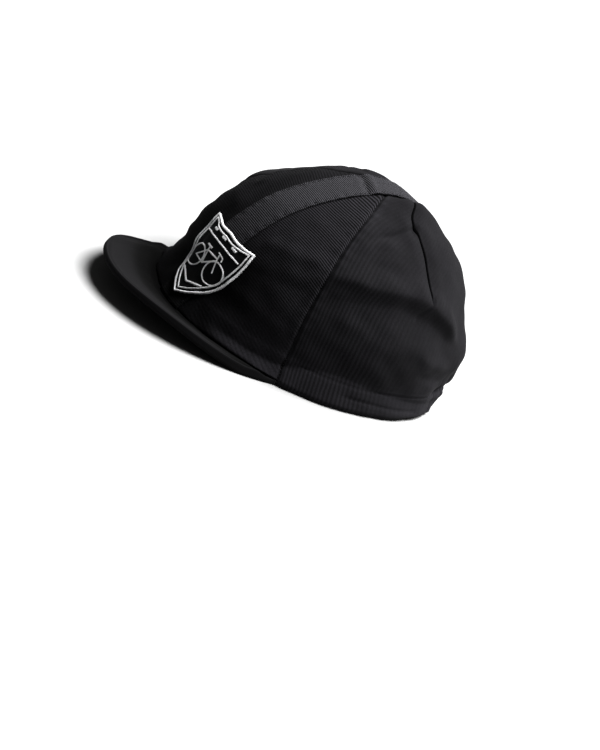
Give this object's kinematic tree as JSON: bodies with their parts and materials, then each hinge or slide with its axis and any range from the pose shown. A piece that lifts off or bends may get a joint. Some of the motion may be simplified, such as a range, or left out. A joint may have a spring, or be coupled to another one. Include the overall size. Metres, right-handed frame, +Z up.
{
  "type": "cycling cap",
  "caption": "Soft dome-shaped cloth cap with a short stiff peak, a tape over its centre seam and a turned hem, open below for a head.",
  "frame": {"origin": "middle of the footprint, on the surface that the hem rests on", "axes": "+Z up through the top of the crown, -Y towards the peak, +X towards the wearer's left"},
  "size_m": [0.1582, 0.2416, 0.1049],
  "materials": {
    "panel_cloth": "matt black cotton twill with fine slanting ribs",
    "tape_cloth": "charcoal ribbed tape, slightly lighter than the panels",
    "peak_cloth": "matt black cotton twill over a stiff board"
  },
  "bodies": {
    "root": {"front_panel_left": "panel_cloth", "front_panel_right": "panel_cloth", "rear_panel_left": "panel_cloth", "rear_panel_right": "panel_cloth", "centre_tape": "tape_cloth", "peak": "peak_cloth"}
  },
  "joints": []
}
